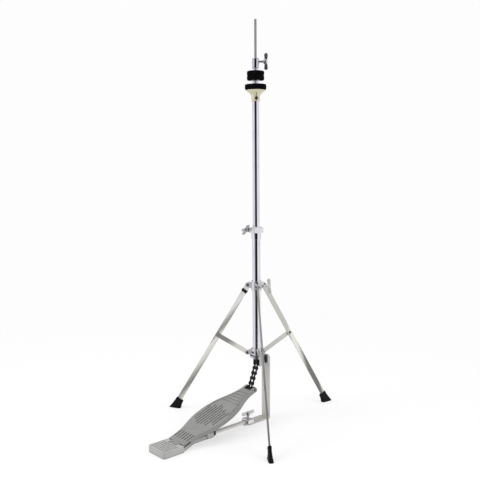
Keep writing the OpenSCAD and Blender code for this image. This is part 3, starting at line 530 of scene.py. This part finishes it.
def felt_disc(node, hole, edge, ragged, seed):
    """A pressed felt ring: crowned faces, soft uneven edges and a matted surface."""
    low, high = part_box(node)
    outer, thick = (high.x - low.x) / 2, high.z - low.z
    profile = []
    for turn, (r, z) in enumerate(((outer, low.z), (outer, high.z))):
        centre = z + edge * (1 - 2 * turn)
        for step in range(CORNER_STEPS + 1):
            angle = math.radians(-90 + 90 * turn + 90 * step / CORNER_STEPS)
            profile.append((r - edge + edge * math.cos(angle), centre + edge * math.sin(angle)))
    lower, upper = profile[CORNER_STEPS][1], profile[CORNER_STEPS + 1][1]
    shares = [k / FLANK_STEPS for k in range(1, FLANK_STEPS)]
    flank = [(outer + FELT_CROWN * math.sin(math.pi * k), lower + (upper - lower) * k) for k in shares]
    profile[CORNER_STEPS + 1:CORNER_STEPS + 1] = flank
    inward = [1 - k / FACE_RINGS for k in range(1, FACE_RINGS + 1)]
    top = [(hole + (outer - edge - hole) * k, high.z) for k in inward]
    bottom = [(hole + (outer - edge - hole) * k, low.z) for k in reversed(inward)]
    bore = [(hole, high.z - thick * k / BORE_STEPS) for k in range(1, BORE_STEPS)]
    profile = profile + top + bore + bottom
    verts = []
    for r, z in profile:
        for k in range(AROUND_FELT):
            a = math.tau * k / AROUND_FELT
            p = Vector((r * math.cos(a), r * math.sin(a), z))
            out = min(1.0, max(0.0, (r - hole) / (outer - hole)))
            wobble = noise.noise(p * CLUMPS + Vector((seed, 0, 0)))
            wobble += 0.5 * noise.noise(p * FIBRES + Vector((0, seed, 0)))
            side = Vector((p.x, p.y, 0)).normalized() * wobble * ragged * out
            flat = wobble * FACE_ROUGHNESS * ragged * (1 if z > (low.z + high.z) / 2 else -1)
            drawn = p.z + flat - DRAWN_BACK * (1 if flat > 0 else -1)
            inside = min(high.z - FELT_INSET, max(low.z + FELT_INSET, drawn))
            verts.append(Vector((p.x, p.y, inside)) + side)
    faces = ring_faces(len(profile), AROUND_FELT, True)
    piece(node + "_soft", verts, faces, body_of(node), node, "felt")


felt_disc("seat_felt", 5.2 * MM, 2.2 * MM, 0.45 * MM, 3.0)
felt_disc("clutch_felt_lower", 5.5 * MM, 2.0 * MM, 0.4 * MM, 11.0)
felt_disc("clutch_felt_upper", 5.5 * MM, 2.0 * MM, 0.4 * MM, 27.0)


# A boot's rings from the sole up: share of the height, swell in millimetres, share of the full section
BOOT_ROWS = (
    (0.0, 0, 0.55), (0.0, 0, 0.80), (0.0, 0, 0.95), (0.012, 0.1, 1.0), (0.05, 0.25, 1.0),
    (0.09, 0.2, 1.0), (0.12, -0.15, 1.0), (0.2, -0.5, 1.0), (0.32, -0.9, 1.0), (0.45, -1.0, 1.0),
    (0.6, -0.85, 1.0), (0.72, -0.55, 1.0), (0.8, -0.3, 1.0), (0.83, 0.15, 1.0), (0.86, 0.35, 1.0),
    (0.93, 0.35, 1.0), (0.97, 0.2, 1.0), (0.99, -0.1, 1.0), (1.0, -0.5, 0.97), (1.0, -0.5, 0.9),
)
AROUND_FOOT = 56
# Exponent that makes a boot's section a rounded rectangle
SQUARENESS = 2 / 4.2
# Swell of the narrow sides beside the wide ones
NARROW_SWELL = 0.7
# The rings up to this share of the height are the sole, and stand this much above the floor for each share
SOLE_SHARE = 0.02
SOLE_RISE = 20 * MM


def rubber_foot(which):
    """A rubber boot: a lip round the bar, hollow flanks, and a flared sole with a rolled edge."""
    node = "foot_" + which
    joint = pivot(f"leg_{which}_fold")
    sole = sole_centre(which)
    axis = (joint - sole).normalized()
    across = UP.cross(Vector((joint.x, joint.y, 0)).normalized())
    points = [v.co for v in nodes[node].data.vertices]
    reach = max((p - sole).dot(axis) for p in points)
    outward = across.cross(UP).normalized()
    tilted = across.cross(axis).normalized()
    if tilted.dot(outward) < 0:
        tilted = -tilted
    flat = [p for p in points if p.z < LEVEL]
    sole_a = max(abs((p - sole).dot(outward)) for p in flat)
    sole_b = max(abs((p - sole).dot(across)) for p in flat)
    top = [p for p in points if (p - sole).dot(axis) > reach - LEVEL]
    top_a = max(abs((p - sole).dot(tilted)) for p in top)
    top_b = max(abs((p - sole).dot(across)) for p in top)
    verts = []
    for share, swell, shrink in BOOT_ROWS:
        centre = sole + axis * reach * share
        u = outward.lerp(tilted, share).normalized()
        a = (sole_a + (top_a - sole_a) * share + swell * MM) * shrink
        b = (sole_b + (top_b - sole_b) * share + swell * NARROW_SWELL * MM) * shrink
        for k in range(AROUND_FOOT):
            t = math.tau * k / AROUND_FOOT
            c, s = math.cos(t), math.sin(t)
            x = math.copysign(abs(c) ** SQUARENESS, c) * a
            y = math.copysign(abs(s) ** SQUARENESS, s) * b
            p = centre + u * x + across * y
            if share < SOLE_SHARE:
                p.z = share * SOLE_RISE
            verts.append(p)
    faces = ring_faces(len(BOOT_ROWS), AROUND_FOOT)
    faces.append(tuple(reversed(range(AROUND_FOOT))))
    last = (len(BOOT_ROWS) - 1) * AROUND_FOOT
    faces.append(tuple(range(last, last + AROUND_FOOT)))
    piece(node + "_soft", verts, faces, body_of(node), node, "rubber")


for leg in LEGS:
    rubber_foot(leg)


def coil_spring():
    """The return spring as a smooth wire, its ends laid closed."""
    low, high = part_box("return_spring")
    wire, gap, sides, turns, steps = 0.9 * MM, 0.2 * MM, 12, 10, 48
    radius = (high.x - low.x) / 2 - wire
    bottom, top = low.z + wire, high.z - wire
    closed = 2 * wire + gap
    pitch = (top - bottom - 2 * closed) / (turns - 2)

    def height(turn):
        if turn < 1:
            return bottom + closed * turn
        if turn > turns - 1:
            return top - closed * (turns - turn)
        return bottom + closed + pitch * (turn - 1)

    verts = []
    count = turns * steps + 1
    for i in range(count):
        a = math.tau * i / steps
        for k in range(sides):
            b = math.tau * k / sides
            r = radius + wire * math.cos(b)
            verts.append(Vector((r * math.cos(a), r * math.sin(a), height(i / steps) + wire * math.sin(b))))
    faces = ring_faces(count, sides)
    faces.append(tuple(range(sides)))
    faces.append(tuple(reversed(range((count - 1) * sides, count * sides))))
    spring = piece("return_spring_wire", verts, faces, "stand", "return_spring", "spring_steel")
    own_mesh(spring)


coil_spring()


# ---- Stage ----

BACKDROP = 0.985
DIFFUSE = 0.72
# What reflections see around the stand: degrees from the camera's side, then brightness
ROOM = ((-180, 0.42), (-150, 0.55), (-110, 0.78), (-75, 1.0), (-47, 0.5), (-36, 0.42), (-27, 0.004),
        (22, 0.004), (34, 0.6), (46, 0.88), (70, 0.92), (110, 0.85), (150, 0.6), (180, 0.42))
ROOM_TINT = (0.965, 0.945, 1)
CEILING = (0.8, 0.8, 0.82)
# Upward share of a direction where the ceiling begins and where it is full
CEILING_RISE = (0.45, 0.85)
# Distances from the tube over which the floor turns into backdrop, and the share it starts from
FLOOR_FADE = (0.1, 1.6)
FLOOR_START = 0.6
FLOOR_RADIUS = 14
FLOOR_SIDES = 96
LEAN = math.radians(0.4)
PITCH = math.radians(6.42)
camera_at = Vector((1.1884, -1.1165, 0.6338))
towards = Vector((camera_at.x, camera_at.y, 0)).normalized()
facing = Vector((-0.7455, 0.6665, 0)) * math.cos(PITCH) - UP * math.sin(PITCH)
camera = bpy.data.objects.new("camera", bpy.data.cameras.new("camera"))
camera.data.lens = 51.1
camera.data.sensor_width = 36
camera.data.clip_start = 0.05
camera.data.clip_end = 100
camera.location = camera_at
camera.rotation_mode = "QUATERNION"
camera.rotation_quaternion = facing.to_track_quat("-Z", "Y") @ Quaternion((0, 0, 1), -LEAN)
camera.data.shift_x = 0.001
bpy.context.scene.collection.objects.link(camera)
bpy.context.scene.camera = camera


def sheet(name, corners, material):
    """A flat stage piece."""
    mesh = bpy.data.meshes.new(name)
    mesh.from_pydata([tuple(c) for c in corners], [], [tuple(range(len(corners)))])
    mesh.materials.append(material)
    obj = bpy.data.objects.new(name, mesh)
    bpy.context.scene.collection.objects.link(obj)
    return obj


def floor_sheet():
    """A wide round sheet of matt paper that fades into the backdrop far from the stand."""
    g = Graph("paper")
    g.set(Base_Color=g.mix(g.noise(3, 2), (0.9, 0.9, 0.9), (0.93, 0.93, 0.93)), Roughness=0.9)
    g.set(Specular_IOR_Level=0.0)
    length = g.tree.nodes.new("ShaderNodeVectorMath")
    length.operation = "LENGTH"
    g.put(length.inputs[0], g.place)
    far = g.span(length.outputs["Value"], *FLOOR_FADE, FLOOR_START, 1.0)
    lit = g.tree.nodes.new("ShaderNodeEmission")
    lit.inputs["Strength"].default_value = BACKDROP
    blend = g.tree.nodes.new("ShaderNodeMixShader")
    g.put(blend.inputs[0], far)
    g.put(blend.inputs[1], g.shader.outputs[0])
    g.put(blend.inputs[2], lit.outputs[0])
    out = next(n for n in g.tree.nodes if n.type == "OUTPUT_MATERIAL")
    g.put(out.inputs["Surface"], blend.outputs[0])
    turns = [math.tau * k / FLOOR_SIDES for k in range(FLOOR_SIDES)]
    rim = [(FLOOR_RADIUS * math.cos(t), FLOOR_RADIUS * math.sin(t), 0) for t in turns]
    # Bright metal sees the room all round instead of this sheet.
    sheet("floor", rim, g.material).visible_glossy = False


def soft_light(name, place, target, size, power):
    light = bpy.data.objects.new(name, bpy.data.lights.new(name, "AREA"))
    light.data.shape = "DISK"
    light.data.size = size
    light.data.energy = power
    light.location = place
    light.rotation_mode = "QUATERNION"
    light.rotation_quaternion = (Vector(target) - Vector(place)).to_track_quat("-Z", "Y")
    light.visible_glossy = False
    bpy.context.scene.collection.objects.link(light)


def studio():
    """White surroundings. Reflections see a soft room instead: dark where the camera stands, bright on
    both sides, greyer behind the stand, with a pale ceiling."""
    world = bpy.data.worlds.new("studio")
    bpy.context.scene.world = world
    world.use_nodes = True
    tree = world.node_tree
    tree.nodes.clear()

    def calc(operation, a, b=None):
        made = tree.nodes.new("ShaderNodeMath")
        made.operation = operation
        for socket, value in zip(made.inputs, (a, b)):
            if isinstance(value, bpy.types.NodeSocket):
                tree.links.new(value, socket)
            elif value is not None:
                socket.default_value = value
        return made.outputs[0]

    def part(direction):
        made = tree.nodes.new("ShaderNodeVectorMath")
        made.operation = "DOT_PRODUCT"
        made.inputs[1].default_value = direction
        tree.links.new(where, made.inputs[0])
        return made.outputs["Value"]

    def background(colour, strength):
        made = tree.nodes.new("ShaderNodeBackground")
        if isinstance(colour, bpy.types.NodeSocket):
            tree.links.new(colour, made.inputs["Color"])
        else:
            made.inputs["Color"].default_value = (*colour, 1)
        made.inputs["Strength"].default_value = strength
        return made.outputs[0]

    where = tree.nodes.new("ShaderNodeTexCoord").outputs["Generated"]
    turn = calc("ARCTAN2", part(UP.cross(towards)), part(towards))
    ramp = tree.nodes.new("ShaderNodeValToRGB")
    tree.links.new(calc("ADD", calc("DIVIDE", turn, math.tau), 0.5), ramp.inputs["Fac"])
    while len(ramp.color_ramp.elements) < len(ROOM):
        ramp.color_ramp.elements.new(0.5)
    for element, (degrees, level) in zip(ramp.color_ramp.elements, ROOM):
        element.position = degrees / 360 + 0.5
        element.color = (*shade(ROOM_TINT, level), 1)
    ceiling = tree.nodes.new("ShaderNodeMix")
    ceiling.data_type = "RGBA"
    rise = tree.nodes.new("ShaderNodeMapRange")
    rise.inputs["From Min"].default_value, rise.inputs["From Max"].default_value = CEILING_RISE
    tree.links.new(part(UP), rise.inputs["Value"])
    tree.links.new(rise.outputs[0], ceiling.inputs[0])
    tree.links.new(ramp.outputs["Color"], ceiling.inputs[6])
    ceiling.inputs[7].default_value = (*CEILING, 1)
    path = tree.nodes.new("ShaderNodeLightPath")
    choose = tree.nodes.new("ShaderNodeMixShader")
    plain = tree.nodes.new("ShaderNodeMixShader")
    tree.links.new(path.outputs["Is Camera Ray"], plain.inputs[0])
    tree.links.new(background((1, 1, 1), DIFFUSE), plain.inputs[1])
    tree.links.new(background((1, 1, 1), BACKDROP), plain.inputs[2])
    tree.links.new(path.outputs["Is Glossy Ray"], choose.inputs[0])
    tree.links.new(plain.outputs[0], choose.inputs[1])
    tree.links.new(background(ceiling.outputs[2], 1.0), choose.inputs[2])
    out = tree.nodes.new("ShaderNodeOutputWorld")
    tree.links.new(choose.outputs[0], out.inputs["Surface"])


floor_sheet()
studio()
soft_light("key", (-0.9, -1.9, 2.4), (0, -0.1, 0.3), 1.6, 26)
soft_light("fill", (2.2, 0.9, 1.8), (0, 0, 0.4), 1.4, 12)
soft_light("top", (0.1, 0.3, 3.2), (0, 0, 0), 2.2, 20)
bpy.context.scene.view_settings.view_transform = "Standard"
